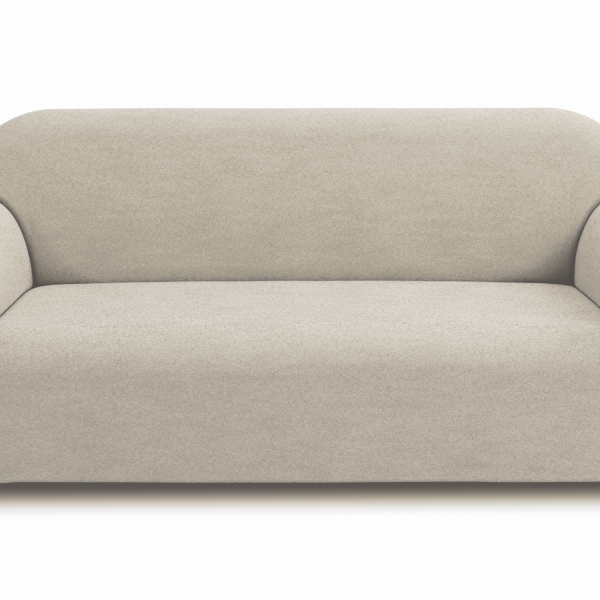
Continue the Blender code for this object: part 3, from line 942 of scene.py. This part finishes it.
def aim(made, place, ahead):
    """Stands a lamp or the camera at a place, looking along a direction."""
    made.location = place
    made.rotation_mode = "QUATERNION"
    made.rotation_quaternion = ahead.to_track_quat("-Z", "Y")


def add_piece(panel, material):
    """One panel as a thin closed sheet that stands for its CAD node."""
    mesh = bpy.data.meshes.new(panel.node + "_cloth")
    mesh.from_pydata(panel.points.tolist(), [], panel.faces)
    mesh.shade_smooth()
    corners = np.array([loop.vertex_index for loop in mesh.loops])
    for layout, places in (("cloth", panel.cloth), ("grain", panel.grain)):
        layer = mesh.uv_layers.new(name=layout)
        layer.data.foreach_set("uv", places[corners].astype(np.float32).ravel())
    mesh.materials.append(material)
    piece = add_object(panel.node + "_cloth", mesh)
    shell = piece.modifiers.new("Cloth", "SOLIDIFY")
    shell.thickness = CLOTH
    shell.offset = -1
    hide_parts(panel.node)
    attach(piece, "root")
    return piece


# --- looks ---
def chain(material):
    """A function that adds a Math node to a material and joins its inputs, each a socket or a number."""
    nodes, links = material.node_tree.nodes, material.node_tree.links

    def step(operation, *inputs):
        node = nodes.new("ShaderNodeMath")
        node.operation = operation
        for socket, value in zip(node.inputs, inputs):
            if isinstance(value, (int, float)):
                socket.default_value = value
            else:
                links.new(value, socket)
        return node.outputs[0]

    return step


def set_inputs(node, values):
    """Sets a node's inputs, by name."""
    for socket, value in values.items():
        node.inputs[socket].default_value = value


def show_to_camera(tree, real, shown, output):
    """Ends a node tree in two shaders: one that lights the scene, and one that the camera sees."""
    path, mix = tree.nodes.new("ShaderNodeLightPath"), tree.nodes.new("ShaderNodeMixShader")
    tree.links.new(path.outputs["Is Camera Ray"], mix.inputs[0])
    tree.links.new(real.outputs[0], mix.inputs[1])
    tree.links.new(shown.outputs[0], mix.inputs[2])
    tree.links.new(mix.outputs[0], tree.nodes[output].inputs[0])


def cloth_material(name, lightness):
    """A melange knit: pale and darker fibres mixed in short slubs along both thread directions, with
    softer mottling over them. Sizes are in metres on the cloth."""
    material = bpy.data.materials.new(name)
    material.use_nodes = True
    nodes, links = material.node_tree.nodes, material.node_tree.links
    surface = nodes["Principled BSDF"]
    sources = {}
    for layout in ("cloth", "grain"):
        sources[layout] = nodes.new("ShaderNodeUVMap")
        sources[layout].uv_map = layout
    step = chain(material)

    def fibres(source, width, length, detail, offset):
        """Noise stretched to cells of a width and a length, about 0."""
        spot = nodes.new("ShaderNodeMapping")
        start = (offset, offset * LAYER_SLANT, 0)
        set_inputs(spot, {"Scale": (1 / width, 1 / length, 1), "Location": start})
        links.new(sources[source].outputs[0], spot.inputs[0])
        cells = nodes.new("ShaderNodeTexNoise")
        cells.noise_dimensions = "2D"
        set_inputs(cells, {"Scale": 1.0, "Detail": detail, "Roughness": FIBRE_ROUGHNESS})
        links.new(spot.outputs[0], cells.inputs["Vector"])
        return step("SUBTRACT", cells.outputs[0], 0.5)

    layers = [fibres(*row[:4], LAYER_SHIFT * k) for k, row in enumerate(FIBRES)]
    facing, parts = nodes.new("ShaderNodeNewGeometry"), nodes.new("ShaderNodeSeparateXYZ")
    links.new(facing.outputs["Normal"], parts.inputs[0])
    level = step("POWER", step("MAXIMUM", parts.outputs[2], 0.0), LEVEL_POWER)
    lit = step("ADD", step("MULTIPLY", level, LIT_CONTRAST), 1.0)
    tint, height = 0.0, 0.0
    for layer, (*_, shade, relief) in zip(layers, FIBRES):
        tint = step("ADD", step("MULTIPLY", layer, shade), tint)
        if relief:
            height = step("ADD", step("MULTIPLY", layer, relief), height)
    tint = step("ADD", step("MULTIPLY", tint, lit), 0.5)
    mix = nodes.new("ShaderNodeMix")
    mix.data_type = "RGBA"
    mix.clamp_factor = True
    links.new(tint, mix.inputs["Factor"])
    # lightness above 1 makes a lighter copy of the knit: painted light, used on the arms
    mix.inputs[6].default_value = (*[lightness * part for part in DARK_FIBRE], 1)
    mix.inputs[7].default_value = (*[lightness * part for part in PALE_FIBRE], 1)
    links.new(mix.outputs[2], surface.inputs["Base Color"])
    bump = nodes.new("ShaderNodeBump")
    set_inputs(bump, {"Strength": 1.0, "Distance": 1.0})
    links.new(height, bump.inputs["Height"])
    links.new(bump.outputs[0], surface.inputs["Normal"])
    set_inputs(surface, KNIT_SURFACE)
    return material


def add_stage():
    """A white floor with a painted contact shadow: darker under the cover and just round it."""
    mesh = bpy.data.meshes.new("floor")
    corners = [(-1, -1), (1, -1), (1, 1), (-1, 1)]
    mesh.from_pydata([(x * FLOOR_HALF, y * FLOOR_HALF, FLOOR_Z) for x, y in corners], [], [(0, 1, 2, 3)])
    piece = add_object("floor", mesh)
    material = bpy.data.materials.new("pale_floor")
    material.use_nodes = True
    nodes, links = material.node_tree.nodes, material.node_tree.links
    surface = nodes["Principled BSDF"]
    set_inputs(surface, FLOOR_SURFACE)
    step = chain(material)
    place, parts = nodes.new("ShaderNodeNewGeometry"), nodes.new("ShaderNodeSeparateXYZ")
    links.new(place.outputs["Position"], parts.inputs[0])
    beside = step("SUBTRACT", step("ABSOLUTE", parts.outputs[0]), FOOT_HALF_WIDTH)
    ahead = step("SUBTRACT", step("ABSOLUTE", parts.outputs[1]), FOOT_HALF_DEPTH)
    squares = [step("POWER", step("MAXIMUM", side, 0.0), 2.0) for side in (beside, ahead)]
    outside = step("SQRT", step("ADD", *squares))
    away = step("ADD", outside, step("MINIMUM", step("MAXIMUM", beside, ahead), 0.0))
    low, high = FLOOR_SHADE[0][0], FLOOR_SHADE[-1][0]
    share = step("DIVIDE", step("SUBTRACT", away, low), high - low)
    ramp = nodes.new("ShaderNodeValToRGB")
    links.new(share, ramp.inputs[0])
    for k, (distance, colour) in enumerate(FLOOR_SHADE):
        at = (distance - low) / (high - low)
        elements = ramp.color_ramp.elements
        element = elements.new(at) if 0 < k < len(FLOOR_SHADE) - 1 else elements[0 if k == 0 else -1]
        element.position = at
        element.color = (*(part / WHITE for part in colour), 1)
    # the camera sees the floor as this glow, which carries the painted contact shadow
    seen = nodes.new("ShaderNodeEmission")
    seen.inputs["Strength"].default_value = WHITE
    links.new(ramp.outputs[0], seen.inputs["Color"])
    show_to_camera(material.node_tree, surface, seen, "Material Output")
    mesh.materials.append(material)


def add_lights():
    """Soft area lights in a white room, which the camera sees as plain white."""
    for name, place, size, watts in LIGHTS:
        light = bpy.data.lights.new(name, "AREA")
        light.size, light.energy = size, watts
        aim(add_object(name, light), place, Vector(LIGHT_AIM) - Vector(place))
    world = bpy.data.worlds.new("studio")
    bpy.context.scene.world = world
    world.use_nodes = True
    room = world.node_tree.nodes["Background"]
    backdrop = world.node_tree.nodes.new("ShaderNodeBackground")
    for node, strength in ((room, WORLD), (backdrop, WHITE)):
        set_inputs(node, {"Strength": strength, "Color": (1, 1, 1, 1)})
    show_to_camera(world.node_tree, room, backdrop, "World Output")


def set_curve(curve, line):
    """Gives a tone curve the points of a line. The curve is smooth between them."""
    for k, (start, shown) in enumerate(line):
        if k == 0:
            point = curve.points[0]
        elif k == len(line) - 1:
            point = curve.points[len(curve.points) - 1]
        else:
            point = curve.points.new(start, shown)
        point.location = (start, shown)


def set_tone():
    """Tone curves: one for brightness, and one for each colour's shadows."""
    view = bpy.context.scene.view_settings
    view.view_transform = "Standard"
    view.use_curve_mapping = True
    mapping = view.curve_mapping
    mapping.white_level = (WHITE, WHITE, WHITE)
    mapping.extend = "HORIZONTAL"
    set_curve(mapping.curves[3], [(brightness / WHITE, shown) for brightness, shown in TONE])
    middle = [(part, part) for part in UNCHANGED]
    for curve, line in zip(mapping.curves, (RED_SHADOWS, GREEN_SHADOWS, BLUE_SHADOWS)):
        set_curve(curve, [*line, *middle, (1.0, 1.0)])
    mapping.update()


def add_camera():
    """The camera, a little left of the middle, looking down at the seat."""
    camera = bpy.data.cameras.new("camera")
    camera.lens, camera.sensor_width = CAMERA_LENS, CAMERA_SENSOR
    view = add_object("camera", camera)
    yaw, pitch = math.radians(CAMERA_YAW), math.radians(CAMERA_PITCH)
    ahead = Vector((math.sin(yaw) * math.cos(pitch), math.cos(yaw) * math.cos(pitch), -math.sin(pitch)))
    aim(view, CAMERA_PLACE, ahead)
    bpy.context.scene.camera = view


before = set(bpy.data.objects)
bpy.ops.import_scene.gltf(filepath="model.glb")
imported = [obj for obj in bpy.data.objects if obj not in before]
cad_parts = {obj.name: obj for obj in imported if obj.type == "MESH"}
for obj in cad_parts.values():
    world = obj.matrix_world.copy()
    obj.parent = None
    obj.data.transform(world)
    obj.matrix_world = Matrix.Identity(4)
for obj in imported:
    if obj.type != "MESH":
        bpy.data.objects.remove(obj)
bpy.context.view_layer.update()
# the arms' panels take the lighter copy of the knit, which is painted light
knit, arm_knit_painted_light = cloth_material("melange_knit", 1.0), cloth_material("melange_knit_arms_painted_light", ARM_PAINTED_LIGHT)
for panel in make_cloth():
    piece = add_piece(panel, arm_knit_painted_light if panel.node.startswith("arm") else knit)
add_stage()
add_lights()
add_camera()
set_tone()
